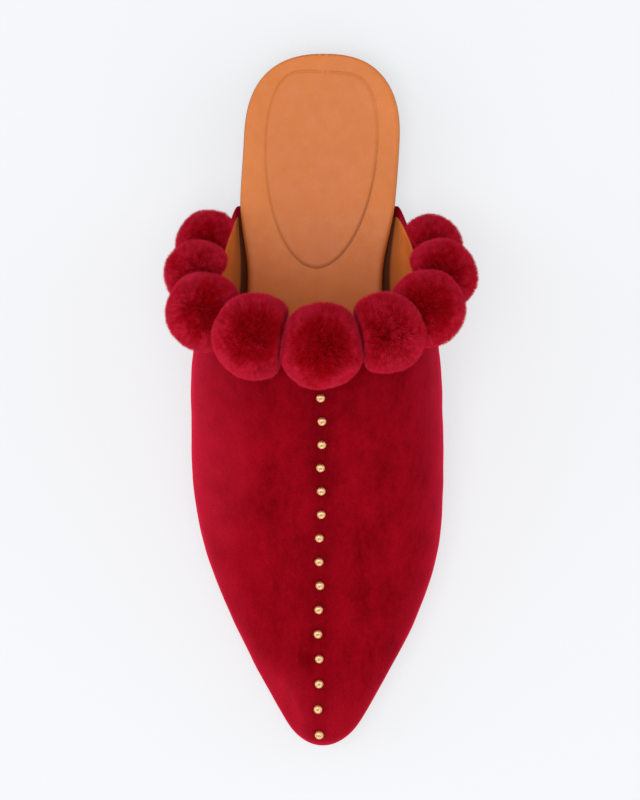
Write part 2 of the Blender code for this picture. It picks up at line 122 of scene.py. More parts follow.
# Degrees from the ridge, distance from the collar's edge, height of the middle over the upper as a share
# of the radius, and how strongly it presses on its neighbours
Pompom = namedtuple("Pompom", "place turn seam diameter lift push")
POMPOMS = (
    Pompom("rear_outer", -105, 3.8, 25.0, 0.43, 1.0),
    Pompom("side_outer", -79, 4.0, 25.5, 0.52, 1.0),
    Pompom("flank_outer", -56, 5.0, 29.0, 0.52, 1.0),
    Pompom("front_outer", -27, 1.5, 31.5, 0.52, 1.0),
    Pompom("throat", -0.5, 1.5, 31.5, 0.52, 1.4),
    Pompom("front_inner", 27, 0.5, 29.5, 0.52, 1.0),
    Pompom("flank_inner", 52, 1.5, 28.5, 0.52, 1.0),
    Pompom("side_inner", 78, 3.5, 27.0, 0.52, 1.0),
    Pompom("rear_inner", 101, 4.6, 25.0, 0.4, 1.0),
)


def ramp(value, zero, one):
    """Runs smoothly from 0 at one value to 1 at another, which may be the smaller one, and holds there."""
    share = np.clip((value - zero) / (one - zero), 0.0, 1.0)
    return share * share * (3.0 - 2.0 * share)


def along(column, d):
    """A column of the form's table at distances from the toe, on a smooth curve through its rows."""
    x, y = COLUMN["from_toe"], COLUMN[column]
    here = np.arange(len(x))
    before, after = np.maximum(here - 1, 0), np.minimum(here + 1, len(x) - 1)
    slope = (y[after] - y[before]) / (x[after] - x[before])
    i = np.clip(np.searchsorted(x, d, side="right") - 1, 0, len(x) - 2)
    span = x[i + 1] - x[i]
    t = (d - x[i]) / span
    between = y[i] * (1 - t) ** 2 * (1 + 2 * t) + y[i + 1] * t * t * (3 - 2 * t)
    curve = between + span * (slope[i] * t * (1 - t) ** 2 - slope[i + 1] * t * t * (1 - t))
    return np.where(t < 0.0, y[0] + slope[0] * d, curve)


def spring(d):
    return TOE_SPRING * np.clip((SPRING_FROM - d) / SPRING_FROM, 0.0, 1.0) ** 2


def sole_under(d):
    arch = ARCH_RISE * ramp(d, ARCH_FROM, HEEL_BREAST)
    breast = ARCH_RISE * np.clip(1.0 - (d - HEEL_BREAST) / BREAST_DEPTH, 0.0, 1.0)
    return np.where(d < ARCH_FROM, spring(d), np.where(d < HEEL_BREAST, arch, breast))


def sole_over(d):
    return SOLE_THICKNESS + spring(d) + (HEEL_HEIGHT - SOLE_THICKNESS) * ramp(d, *HEEL_RISE)


def form_bottom(d):
    return sole_over(d) + GAP + UPPER_WALL + GAP


def toe_rounding(d, clearance):
    share = np.clip((d - OUTER + clearance) / (TOE_ROUND + clearance), 0.0, 1.0)
    return np.sqrt(1.0 - (1.0 - share) ** TOE_FULLNESS)


def heel_rounding(d, side, inset):
    share = np.clip((LENGTH - inset - d) / (HEEL_ROUND - inset), 0.0, 1.0)
    power = HEEL_SQUARENESS[side]
    return (1.0 - (1.0 - share) ** power) ** (1.0 / power)


def form(d, around, clearance):
    """Points of the form, grown by a clearance. around runs from -1 at the outer bottom edge over 0 at the
    ridge to 1 at the inner bottom edge, and on past both along the margin turned in under the form."""
    d, a, c = np.broadcast_arrays(*(np.asarray(v, float) for v in (d, around, clearance)))
    outer_side = a < 0

    def half(column):
        return np.where(outer_side, along(f"{column}_out", d), along(f"{column}_in", d))

    bottom = half("bottom")
    reach = half("side") + c
    widest = along("widest", d) + c
    top = along("top", d) + 2.0 * c
    power = 2.0 / along("squareness", d)
    climb = 1.0 - np.abs(a)
    flare = RIGHT_ANGLE * np.clip(climb / FLARE_SHARE, 0.0, 1.0)
    arch = RIGHT_ANGLE * np.clip((climb - FLARE_SHARE) / (1.0 - FLARE_SHARE), 0.0, 1.0)
    low = climb < FLARE_SHARE
    margin = bottom + climb * np.minimum(MARGIN_WIDTH, MARGIN_SHARE * bottom)
    x_low = np.where(climb < 0.0, margin, bottom + (reach - bottom) * np.sin(flare))
    x = np.where(low, x_low, reach * np.maximum(np.cos(arch), 0.0) ** power)
    z_low = np.where(climb < 0.0, 0.0, widest * (1.0 - np.cos(flare)))
    z = np.where(low, z_low, widest + (top - widest) * np.sin(arch) ** power)
    rounding = toe_rounding(d, c)
    x = np.where(outer_side, -1.0, 1.0) * x * rounding
    return np.stack([x, d - HALF_LENGTH, form_bottom(d) - c + z * rounding], -1)


def unit(vectors):
    return vectors / np.maximum(np.linalg.norm(vectors, axis=-1, keepdims=True), 1e-9)


def outward(d, around, clearance):
    """The form's outward directions at points."""
    step, turn = 0.2, 0.01
    lengthways = form(d + step, around, clearance) - form(d - step, around, clearance)
    crossways = form(d, around + turn, clearance) - form(d, around - turn, clearance)
    return unit(np.cross(crossways, lengthways))


def collar(around, clearance):
    """Where the collar's slanting cut crosses lengthways lines of the form, by halving the interval."""
    around, clearance = np.broadcast_arrays(np.asarray(around, float), clearance)
    near, far = np.full(around.shape, ARCH_FROM), np.full(around.shape, LENGTH)
    halvings = 36
    for _ in range(halvings):
        middle = (near + far) / 2.0
        cut = THROAT_HEIGHT + COLLAR_SLOPE * (middle - THROAT_FROM_TOE)
        below = form(middle, around, clearance)[..., 2] < cut
        near, far = np.where(below, middle, near), np.where(below, far, middle)
    return (near + far) / 2.0


def waves(points, size, seed):
    """Smooth lumps between about -1 and 1, of a size in millimetres: waves in many directions, added up."""
    rng = np.random.default_rng(seed)
    count = 14
    slowest, fastest, level = 0.6, 1.5, 1.2
    ways = rng.normal(size=(count, 3))
    pace = 2.0 * math.pi / size / np.linalg.norm(ways, axis=1) * rng.uniform(slowest, fastest, count)
    ways *= pace[:, None]
    starts = rng.uniform(0.0, 2.0 * math.pi, count)
    return np.sin(points @ ways.T + starts).sum(-1) / math.sqrt(count) / level


def lumps(points, layers, seed):
    """Layers of lumps, each of a height and a size and with the next seed, added up."""
    return sum(height * waves(points, size, seed + k) for k, (height, size) in enumerate(layers))


def quads(rows, cols):
    """Faces of a grid of points that are stored row by row."""
    i, j = np.mgrid[0 : rows - 1, 0 : cols - 1]
    a = i * cols + j
    return np.stack([a, a + 1, a + cols + 1, a + cols], -1).reshape(-1, 4).tolist()


def tube(count, width):
    """Faces of a tube, closed at both ends, from rings of points that are stored one after another."""
    faces = quads(count, width)
    for start in range(0, (count - 1) * width, width):
        after = start + width
        faces.append((after - 1, start, after, after + width - 1))
    faces.append(tuple(range(width)))
    faces.append(tuple(range((count - 1) * width, count * width)))
    return faces


def new_mesh(name, points, faces, mat, outward_faces=True):
    """A mesh from points in millimetres."""
    mesh = bpy.data.meshes.new(name)
    mesh.from_pydata((np.asarray(points) * MM).tolist(), [], faces)
    if outward_faces:
        build = bmesh.new()
        build.from_mesh(mesh)
        bmesh.ops.recalc_face_normals(build, faces=build.faces)
        build.to_mesh(mesh)
        build.free()
    mesh.shade_smooth()
    mesh.materials.append(mat)
    return mesh


def set_marks(mesh, marks):
    """Values at a mesh's points, for its material, by name."""
    for name, values in marks.items():
        mesh.attributes.new(name, "FLOAT", "POINT").data.foreach_set("value", values)


def place_in_scene(name, data):
    obj = bpy.data.objects.new(name, data)
    bpy.context.scene.collection.objects.link(obj)
    return obj


def new_piece(name, mesh, nodes, location=None, direction=None):
    """An object that rides on the shoe and stands for CAD nodes."""
    obj = place_in_scene(name, mesh)
    if location is not None:
        obj.location = Vector(location) * MM
    if direction is not None:
        obj.rotation_mode = "QUATERNION"
        obj.rotation_quaternion = Vector(direction).to_track_quat("Z", "Y")
    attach(obj, "root")
    if nodes:
        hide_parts(*nodes)
    return obj


# Materials
VELVET_DEEP = (0.142, 0.0004, 0.0020)
VELVET_MID = (0.265, 0.0015, 0.0069)
VELVET_PATCH = (0.380, 0.0034, 0.0130)
VELVET_STROKE = (0.330, 0.0021, 0.0090)
# lighter tone for brushed nap with painted sheen and light on the outer flank and the toe
VELVET_NAP_SHEEN = (0.580, 0.0120, 0.0360)
# dark tone for the band along the studs and for painted shade round them and under the pompoms
VELVET_DARK_AND_SHADE = (0.085, 0.0003, 0.0012)
VELVET_GRAIN = (0.090, 0.0003, 0.0012)
VELVET_FLECK = (0.480, 0.0060, 0.0220)
PILE_ROOTS_SHADED = ((0.055, 0.0002, 0.0003), (0.190, 0.0007, 0.0011))  # at the deepest and at the lightest tint, dark as painted shade deep in the pile
PILE_TIPS = ((0.700, 0.0044, 0.0130), (1.000, 0.0260, 0.0760))
INSOLE_TAN = ((0.490, 0.127, 0.021), (0.684, 0.193, 0.035), (0.752, 0.220, 0.042))  # deep, middle and light
LINING_TAN = ((0.566, 0.144, 0.026), (0.802, 0.224, 0.042), (0.909, 0.264, 0.054))
LEATHER_LINE = (0.150, 0.042, 0.012)  # in the line of the pressed oval
LEATHER_STAMPED = (0.660, 0.190, 0.050)  # inside the oval
LEATHER_GAP_SHADE = (0.040, 0.007, 0.001)  # painted shade where leather turns down into a gap
SOLE_SIDE = ((0.105, 0.041, 0.015), (0.155, 0.062, 0.024))
SOLE_TREAD = ((0.330, 0.165, 0.075), (0.430, 0.225, 0.105))
BRASS = ((0.79, 0.50, 0.23), (0.88, 0.61, 0.33))
# painted dark reflection in the hollow of a stud's crown
BRASS_HOLLOW_REFLECTION = (0.42, 0.20, 0.06)


class Shader:
    """A Principled material with helpers for its procedural nodes."""

    def __init__(self, name, **constants):
        self.material = bpy.data.materials.new(name)
        self.material.use_nodes = True
        self.tree = self.material.node_tree
        self.bsdf = self.tree.nodes["Principled BSDF"]
        for socket, value in constants.items():
            self.bsdf.inputs[socket.replace("_", " ")].default_value = value
        coords = self.tree.nodes.new("ShaderNodeTexCoord")
        self.place = coords.outputs["Object"]

    def node(self, kind, values=None, **settings):
        made = self.tree.nodes.new(kind)
        for setting, value in settings.items():
            setattr(made, setting, value)
        for socket, value in (values or {}).items():
            if isinstance(value, bpy.types.NodeSocket):
                self.tree.links.new(value, made.inputs[socket])
            else:
                made.inputs[socket].default_value = value
        return made

    def noise(self, size, detail=3.0, roughness=0.6, stretch=(1.0, 1.0, 1.0)):
        """Noise with features of about that size in millimetres, stretched along the axes."""
        scaling = {"Vector": self.place, "Scale": tuple(1.0 / s for s in stretch)}
        place = self.node("ShaderNodeMapping", scaling).outputs["Vector"]
        values = {"Vector": place, "Scale": 1.0 / (size * MM), "Detail": detail, "Roughness": roughness}
        return self.node("ShaderNodeTexNoise", values).outputs["Fac"]

    def cells(self, size):
        """Distance to the edge of irregular cells of that size in millimetres."""
        values = {"Vector": self.place, "Scale": 1.0 / (size * MM)}
        return self.node("ShaderNodeTexVoronoi", values, feature="DISTANCE_TO_EDGE").outputs["Distance"]

    def attribute(self, name):
        return self.node("ShaderNodeAttribute", attribute_name=name).outputs["Fac"]

    def spread(self, value, low, high, to_low=0.0, to_high=1.0):
        """A value's range moved to another, and held there."""
        values = {"Value": value, "From Min": low, "From Max": high, "To Min": to_low, "To Max": to_high}
        return self.node("ShaderNodeMapRange", values).outputs["Result"]

    def mix(self, factor, first, second):
        """Two colours or sockets, mixed. 6 and 7 are the node's colour inputs and 2 is their output."""
        first, second = ((*c, 1.0) if isinstance(c, tuple) else c for c in (first, second))
        made = self.node("ShaderNodeMix", {0: factor, 6: first, 7: second}, data_type="RGBA")
        return made.outputs[2]

    def layer(self, colour, cover, share, tone):
        """A colour with a tone laid over it, by a share of its cover."""
        factor = self.node("ShaderNodeMath", {0: cover, 1: share}, operation="MULTIPLY").outputs[0]
        return self.mix(factor, colour, tone)

    def bump(self, height, strength, depth):
        """Bump of a depth in millimetres, over any bump that is there."""
        values = {"Height": height, "Strength": strength, "Distance": depth * MM}
        before = self.bsdf.inputs["Normal"].links
        if before:
            values["Normal"] = before[0].from_socket
        made = self.node("ShaderNodeBump", values)
        self.connect("Normal", made.outputs["Normal"])

    def connect(self, socket, value):
        self.tree.links.new(value, self.bsdf.inputs[socket])


def velvet_material():
    """Cloudy brushed velvet, lighter with nap and painted sheen, darker along the studs, with painted shade.
    """
    sheen = {"Sheen_Weight": 1.0, "Sheen_Roughness": 0.45, "Sheen_Tint": (1.0, 0.035, 0.095, 1.0)}
    s = Shader("velvet", Specular_IOR_Level=0.0, Roughness=0.9, **sheen)
    clouds = s.noise(20.0, detail=4.0, stretch=(0.8, 1.6, 1.0))
    patches = s.noise(7.0, stretch=(0.8, 1.8, 1.0))
    strokes = s.noise(1.6, stretch=(1.0, 9.0, 1.0))
    grain = s.noise(0.6, detail=2.0, roughness=0.7)
    flecks = s.noise(1.3, roughness=0.65)
    colour = s.mix(s.spread(clouds, 0.37, 0.63), VELVET_DEEP, VELVET_MID)
    colour = s.layer(colour, s.spread(patches, 0.42, 0.68), 0.40, VELVET_PATCH)
    colour = s.layer(colour, s.spread(strokes, 0.36, 0.64), 0.36, VELVET_STROKE)
    # lighter where the nap is brushed up and where sheen and light are painted on
    colour = s.layer(colour, s.attribute("nap_and_sheen"), 0.50, VELVET_NAP_SHEEN)
    # darker in a band along the studs, with painted shadow round each stud and painted shade under the
    # pompoms
    colour = s.layer(colour, s.attribute("dark_band_and_shade"), 0.50, VELVET_DARK_AND_SHADE)
    colour = s.layer(colour, s.spread(grain, 0.3, 0.7), 0.30, VELVET_GRAIN)
    colour = s.layer(colour, s.spread(flecks, 0.52, 0.72), 0.14, VELVET_FLECK)
    s.connect("Base Color", colour)
    s.bump(grain, strength=0.5, depth=0.25)
    s.bump(strokes, strength=0.3, depth=0.2)
    return s.material


def pile_material():
    """Cut pile, painted dark at the roots of its fibres as shade deep in the pile, and light at their tips.
    """
    sheen = {"Sheen_Weight": 0.8, "Sheen_Roughness": 0.4, "Sheen_Tint": (1.0, 0.042, 0.10, 1.0)}
    s = Shader("pompom_pile", Specular_IOR_Level=0.0, Roughness=0.9, **sheen)
    tint = s.attribute("tint")
    # painted shade: dark at the roots and in the core, light at the fibre tips
    s.connect("Base Color", s.mix(s.attribute("tip"), s.mix(tint, *PILE_ROOTS_SHADED), s.mix(tint, *PILE_TIPS)))
    return s.material


def leather_material(name, tones, pore_size, roughness, gloss):
    """Smooth leather with fine pores. Its mesh marks a pressed line, a stamped face and painted shade at
    edges.
    """
    deep, middle, light = tones
    s = Shader(name, Specular_IOR_Level=gloss)
    clouds = s.noise(30.0, detail=4.0, roughness=0.55)
    blotches = s.noise(6.0)
    sheen = s.noise(4.0, roughness=0.5)
    grain = s.noise(1.6)
    pores = s.cells(pore_size)
    colour = s.mix(s.spread(clouds, 0.34, 0.68), middle, light)
    colour = s.layer(colour, s.spread(blotches, 0.35, 0.75), 0.22, deep)
    colour = s.mix(s.spread(pores, 0.0, 0.18, 0.16, 0.0), colour, deep)
    colour = s.layer(colour, s.attribute("pressed"), 0.8, LEATHER_LINE)
    colour = s.layer(colour, s.attribute("stamped"), 0.55, LEATHER_STAMPED)
    # painted shade at the leather's edges and in gaps
    colour = s.layer(colour, s.attribute("edge"), 0.94, LEATHER_GAP_SHADE)
    s.connect("Base Color", colour)
    s.connect("Roughness", s.spread(sheen, 0.3, 0.7, roughness - 0.06, roughness + 0.08))
    s.bump(s.spread(pores, 0.0, 0.25), strength=0.35, depth=0.06)
    s.bump(grain, strength=0.25, depth=0.08)
    return s.material


def sole_material():
    """Sole leather, dark on its sides and paler on the tread that faces down."""
    s = Shader("sole_leather", Specular_IOR_Level=0.35)
    fibres = s.noise(3.0, detail=4.0, roughness=0.65, stretch=(1.0, 4.0, 1.0))
    wear = s.noise(9.0, detail=4.0)
    side = s.mix(s.spread(fibres, 0.3, 0.7), *SOLE_SIDE)
    tread = s.mix(s.spread(wear, 0.3, 0.7), *SOLE_TREAD)
    facing = s.node("ShaderNodeNewGeometry").outputs["Normal"]
    upright = s.node("ShaderNodeSeparateXYZ", {"Vector": facing}).outputs["Z"]
    s.connect("Base Color", s.mix(s.spread(upright, -0.75, -0.92), side, tread))
    s.connect("Roughness", s.spread(fibres, 0.3, 0.7, 0.42, 0.6))
    s.bump(fibres, strength=0.3, depth=0.1)
    return s.material


def brass_material():
    """Slightly worn brass, with a painted dark reflection in the hollow of a stud's crown."""
    s = Shader("brass", Metallic=1.0)
    wear = s.noise(0.8)
    colour = s.mix(s.spread(wear, 0.3, 0.7), *BRASS)
    # painted dark reflection in the crown's hollow
    s.connect("Base Color", s.layer(colour, s.attribute("hollow_reflection"), 0.55, BRASS_HOLLOW_REFLECTION))
    s.connect("Roughness", s.spread(wear, 0.3, 0.7, 0.40, 0.50))
    return s.material


# Upper and lining
VELVET_BACK = 1.0  # clearance of the velvet's hidden face
VELVET_LUMPS = ((0.16, 34.0), (0.07, 12.0))  # heights and sizes of the upper's slight unevenness
LUMPS_FROM_TOE = (4.0, 14.0)  # its rise at the toe, and its fall towards the bottom edge
LUMPS_TO_EDGE = (1.0, 0.88)
STUD_DIMPLE = 0.35  # depth and radius of the hollow that a stud presses into the velvet
STUD_DIMPLE_RADIUS = 2.7
STUD_SHADE_RING = (3.0, 1.8)  # distances from a stud between which painted shadow rings it
DARK_BAND = 4.5  # half width of the darker band along the studs
DARK_BAND_TOE = 0.35  # how dark that band is at the toe, compared with the rest
DARK_BAND_RISE = (25.0, 75.0)
# painted shade under the pompoms
SHADE_UNDER_POMPOMS = 0.45
SHADE_UNDER_RISE = (108.0, 132.0)
DARK_BAND_PATCHES = ((0.35, 7.0),)  # strength and size of uneven patches
# Lighter velvet: partly brushed nap, partly painted sheen and light on the outer flank and the toe
NAP_SHEEN_PATCHES = ((0.25, 16.0),)
NAP_SHEEN_LEAST_HALF = 14.0  # half width of the toe below which the two sides of the lighter nap and painted sheen run together
NAP_SHEEN_OUTER = 1.1  # how light the nap and painted sheen are on the outer side, and from which share of the half width
NAP_SHEEN_OUTER_FROM = 0.42
NAP_SHEEN_OUTER_WIDTH = 0.55
NAP_SHEEN_OUTER_SHIFT = 0.2  # how much further out that starts in front of the ball of the foot
NAP_SHEEN_SHIFT_RISE = (15.0, 40.0)
NAP_SHEEN_SHIFT_FALL = (95.0, 65.0)
NAP_SHEEN_INNER = 0.3  # the same on the inner side, faded towards the collar by painted shade under the pompoms
NAP_SHEEN_INNER_RISE = (0.6, 1.05)
NAP_SHEEN_INNER_FALL = (140.0, 90.0)
NAP_SHEEN_TOE = 0.35  # the same over the toe
NAP_SHEEN_TOE_FALL = (34.0, 4.0)
NAP_SHEEN_TOE_OUTER = 0.5  # and more on its outer side
NAP_SHEEN_TOE_OUTER_FALL = (42.0, 12.0)
NAP_SHEEN_TOE_OUTER_RISE = (0.15, 0.65)
LINING_FACE = 0.95  # clearance of the lining's hidden face
LINING_SETBACK = 1.6  # how far the lining ends inside the collar's edge
LINING_CORNER_SETBACK = 1.6  # how much further towards the back corners
LINING_CORNER_RISE = (0.66, 0.96)
LINING_SHADE_DIM = 0.42  # painted shade: how far it dims towards its bottom edge, before it darkens in full in the gap
LINING_SHADE_DIM_RISE = (0.82, 0.97)
LINING_SHADE_FULL_RISE = (0.97, 1.0)


def across(margin, flare_steps, arch_steps):
    """Values of around from side to side, with a share of the turned-in margin past each bottom edge."""
    flare = 1.0 - FLARE_SHARE * np.arange(flare_steps) / flare_steps
    arch = (1.0 - FLARE_SHARE) * (1.0 - np.arange(arch_steps) / arch_steps)
    half = np.concatenate([[1.0 + margin], flare, arch])
    return np.concatenate([-half, [0.0], half[::-1]])


def stud_seats():
    """Distances from the toe that space the studs evenly along the curved ridge, and their values of around,
    a little to the outer side of it."""
    steps = 401
    line = np.linspace(STUD_FIRST_FROM_TOE, STUD_LAST_FROM_TOE, steps)
    ridge = form(line, 0.0, OUTER)
    travelled = np.concatenate([[0.0], np.cumsum(np.linalg.norm(np.diff(ridge, axis=0), axis=1))])
    d = np.interp(np.linspace(0.0, travelled[-1], STUD_COUNT), travelled, line)
    bow = STUD_BOW * np.clip(1.0 - ((d - STUD_BOW_FROM_TOE) / STUD_BOW_REACH) ** 2, 0.0, 1.0)
    aside = STUD_ASIDE + bow + STUD_STRAY * np.sin(STUD_STRAY_TURN * np.arange(1, STUD_COUNT + 1))
    reach = (along("side_out", d) + OUTER) * toe_rounding(d, OUTER)
    lean = np.arcsin((aside / reach) ** (along("squareness", d) / 2.0))
    return d, -(1.0 - FLARE_SHARE) * lean / RIGHT_ANGLE


def relief(points):
    """How far the velvet stands off the form: soft unevenness, and hollows under the studs."""
    height = lumps(points, VELVET_LUMPS, seed=3)
    for seat in form(*stud_seats(), OUTER):
        reach = np.linalg.norm(points - seat, axis=-1) / STUD_DIMPLE_RADIUS
        height -= STUD_DIMPLE * np.exp(-2.0 * reach**2)
    return height


def shell(outer, inner, setback, columns, length_rows, nose_rows, rim_rows, uneven):
    """Points and faces of a sheet lasted over the form, with a rounded edge at the collar.
    Its rows run from the toe over the outer face, round the rim and back along the inner face."""
    half = (outer - inner) / 2.0

    def face(clearance):
        start = collar(columns, clearance) - setback - half
        share = np.linspace(0.0, 1.0, length_rows)[:, None]
        body = start + (NOSE_START - start) * share
        turn = RIGHT_ANGLE * np.arange(1, nose_rows) / nose_rows
        nose = NOSE_START - (TOE_ROUND + clearance) * np.sin(turn)
        d = np.concatenate([body, np.broadcast_to(nose[:, None], (nose_rows - 1, len(columns)))])
        return d, form(d, columns, clearance)

    outer_d, outer_points = face(outer)
    if uneven:
        fade = ramp(outer_d, *LUMPS_FROM_TOE) * ramp(np.abs(columns), *LUMPS_TO_EDGE)
        height = relief(outer_points) * fade
        outer_points = outer_points + outward(outer_d, columns, outer) * height[..., None]
    _, inner_points = face(inner)
    turn = np.linspace(0.0, math.pi, rim_rows + 2)[1:-1, None]
    rim_clearance = (outer + inner) / 2.0 + half * np.cos(turn)
    rim_d = collar(columns, rim_clearance) - setback - half + half * np.sin(turn)
    rim = form(rim_d, columns, rim_clearance)
    rows = np.concatenate([outer_points[::-1], rim, inner_points])
    count, width = rows.shape[:2]
    tips = [form(OUTER - c, 0.0, c) for c in (outer, inner)]
    points = np.concatenate([rows.reshape(-1, 3), tips])
    outer_tip, inner_tip = count * width, count * width + 1
    faces = quads(count, width)
    for j in range(width - 1):
        faces.append((j, j + 1, outer_tip))
        last = (count - 1) * width + j
        faces.append((last, last + 1, inner_tip))
    for edge in (0, width - 1):
        for i in range(count // 2 - 1):
            a, b = i * width + edge, (i + 1) * width + edge
            c, d = (count - 2 - i) * width + edge, (count - 1 - i) * width + edge
            faces.append((a, b, c, d))
        faces.append((outer_tip, edge, (count - 1) * width + edge, inner_tip))
    return points, faces


def nap_and_sheen(points):
    """How light the velvet is: nap and painted sheen along the outer side and the toe, a little on the inner
    side.
    """
    d = points[:, 1] + HALF_LENGTH
    rounding = toe_rounding(d, OUTER)

    def share(side):
        return points[:, 0] / np.maximum((along(f"side_{side}", d) + OUTER) * rounding, NAP_SHEEN_LEAST_HALF)

    out, into = -share("out"), share("in")
    start = NAP_SHEEN_OUTER_FROM + NAP_SHEEN_OUTER_SHIFT * ramp(d, *NAP_SHEEN_SHIFT_FALL) * ramp(d, *NAP_SHEEN_SHIFT_RISE)
    light = NAP_SHEEN_OUTER * ramp(out, start, start + NAP_SHEEN_OUTER_WIDTH)
    light += NAP_SHEEN_INNER * ramp(into, *NAP_SHEEN_INNER_RISE) * ramp(d, *NAP_SHEEN_INNER_FALL)
    light += NAP_SHEEN_TOE * ramp(d, *NAP_SHEEN_TOE_FALL)
    light += NAP_SHEEN_TOE_OUTER * ramp(d, *NAP_SHEEN_TOE_OUTER_FALL) * ramp(out, *NAP_SHEEN_TOE_OUTER_RISE)
    return np.clip(light * (1.0 + lumps(points, NAP_SHEEN_PATCHES, seed=5)), 0.0, 1.0)


def darkened_and_shaded(points):
    """How dark the velvet is: a band along the studs, painted shadow round each stud, painted shade under
    the pompoms.
    """
    d = points[:, 1] + HALF_LENGTH
    from_line = (points[:, 0] + STUD_ASIDE) / DARK_BAND
    lengthways = DARK_BAND_TOE + (1.0 - DARK_BAND_TOE) * ramp(d, *DARK_BAND_RISE)
    # a darker band along the studs, and painted shade under the pompoms
    dark_band_and_shade = np.exp(-(from_line**2)) * lengthways + SHADE_UNDER_POMPOMS * ramp(d, *SHADE_UNDER_RISE)
    dark_band_and_shade *= 1.0 + lumps(points, DARK_BAND_PATCHES, seed=6)
    # painted shadow round each stud
    for seat in form(*stud_seats(), OUTER):
        dark_band_and_shade = np.maximum(dark_band_and_shade, ramp(np.linalg.norm(points - seat, axis=-1), *STUD_SHADE_RING))
    return np.clip(dark_band_and_shade, 0.0, 1.0)


def build_upper(velvet, lining):
    columns = across(margin=1.0, flare_steps=14, arch_steps=40)
    points, faces = shell(
        OUTER, VELVET_BACK, 0.0, columns, length_rows=132, nose_rows=16, rim_rows=6, uneven=True
    )
    mesh = new_mesh("upper_velvet", points, faces, velvet)
    # marks for the nap with painted sheen, and for a dark band with painted shade
    set_marks(mesh, {"nap_and_sheen": nap_and_sheen(points), "dark_band_and_shade": darkened_and_shaded(points)})
    new_piece("upper_velvet", mesh, ["upper"])

    columns = across(margin=0.5, flare_steps=16, arch_steps=24)
    around = np.abs(columns)
    setback = LINING_SETBACK + LINING_CORNER_SETBACK * ramp(around, *LINING_CORNER_RISE)
    points, faces = shell(
        LINING_FACE, INNER, setback, columns, length_rows=60, nose_rows=8, rim_rows=4, uneven=False
    )
    mesh = new_mesh("lining", points, faces, lining)
    # painted shade on the lining: dimmer towards its bottom edge, dark in the gap by the insole
    shade = LINING_SHADE_DIM * ramp(around, *LINING_SHADE_DIM_RISE)
    shade += (1.0 - LINING_SHADE_DIM) * ramp(around, *LINING_SHADE_FULL_RISE)
    rows, tips = divmod(len(points), len(columns))
    set_marks(mesh, {"edge": np.concatenate([np.tile(shade, rows), np.zeros(tips)])})
    new_piece("lining", mesh, [])


# Insole and sole
INSOLE_EDGE = 1.5  # radius of its rounded edge
INSOLE_EDGE_SHADE = (0.35, 0.85)  # shares of its drop between which that edge gets painted shade
INSOLE_EDGE_SHARE = 0.06  # share of the half width with closer columns, which round the edge
INSOLE_FLAT_SHARE = 0.93
INSOLE_COLLAR_SHADE = 0.5  # strength and width of the band of painted shade along the insole's edge inside the collar
INSOLE_COLLAR_SHADE_BAND = 3.0
INSOLE_COLLAR_SHADE_FADE = 20.0
INSOLE_LUMPS = ((0.10, 28.0),)
DISH_FULL_HALF = 20.0  # half width from which the insole is dished in full
# The insole's pressed oval: widest place and half width, two half lengths, how pointed each is, its lean
OVAL_FROM_TOE = 224.2
OVAL_X = -0.3
OVAL_HALF_WIDTH = 20.6
OVAL_FRONT = 47.4
OVAL_BACK = 25.3
OVAL_FRONT_POWER = 0.52
OVAL_BACK_POWER = 0.22
OVAL_LEAN = math.radians(2.9)
OVAL_DEPTH = 0.32
OVAL_GROOVE = (0.28, 0.75)  # widths of its groove, outside and inside the outline
OVAL_FLOOR = 0.22  # how deep the face inside it lies, as a share of the groove, and how wide its slope is
OVAL_FLOOR_SLOPE = 1.2
OVAL_LINE = (0.30, 0.45)  # widths of its dark line, outside and inside the outline
OVAL_LINE_FAINT = 0.18  # strength of that line at the back, and where and how fast it becomes crisp
OVAL_CRISP_FROM_TOE = OVAL_FROM_TOE + 3.0
OVAL_CRISP_SLANT = 11.0
OVAL_CRISP_HALF = 15.0
OVAL_CRISP_LENGTH = 45.0
OVAL_STAMP_SLOPE = 0.8
OVAL_ROWS = (172.0, 254.0, 0.42)  # start, end and step of close rows along the oval
SOLE_EDGE = 1.1  # radius of the sole's lower edge
SOLE_TOP_EDGE = 0.5  # height of its upper edge, as a share of that radius
SOLE_BREAST_MARGIN = 0.6


def stations(clearance, inset, steps_toe, steps_middle, steps_heel, extra):
    """Distances from the toe for a loft along the whole shoe, close together where its ends round off."""
    first = 0.08  # how far the end rows stay off the ends, as a share of a step
    tip, back = OUTER - clearance, LENGTH - inset
    turn_toe = RIGHT_ANGLE * (np.arange(steps_toe) + first) / steps_toe
    turn_heel = RIGHT_ANGLE * (np.arange(steps_heel) + first) / steps_heel
    toe = tip + (NOSE_START - tip) * (1.0 - np.cos(turn_toe))
    heel = back - (HEEL_ROUND - inset) * (1.0 - np.cos(turn_heel))
    middle = np.linspace(NOSE_START, LENGTH - HEEL_ROUND, steps_middle)
    return np.unique(np.concatenate([toe, middle, heel, extra]))


def insole_rounding(d, side):
    return toe_rounding(d, INSOLE_INSET) * heel_rounding(d, side, 0.0)


def insole_half(d, side):
    """Half width of the insole, which leaves a narrow dark gap to the lining inside the collar."""
    opening = ramp(d, *INSOLE_GAP_OPENS)
    gap = INSOLE_GAP * opening * ramp(d, CORNER_FROM_TOE, CORNER_FROM_TOE - INSOLE_GAP_FADE)
    return (along(f"bottom_{side}", d) + INSOLE_INSET - gap) * insole_rounding(d, side)


def nearest(points, line):
    """Distance of each point in plan from a line of points, worked out in blocks to save memory."""
    block = 4000
    best = np.full(len(points), np.inf)
    for part in np.array_split(np.arange(len(points)), max(1, len(points) // block)):
        gaps = points[part, None, :] - line[None, :, :]
        best[part] = np.sqrt((gaps**2).sum(-1)).min(1)
    return best


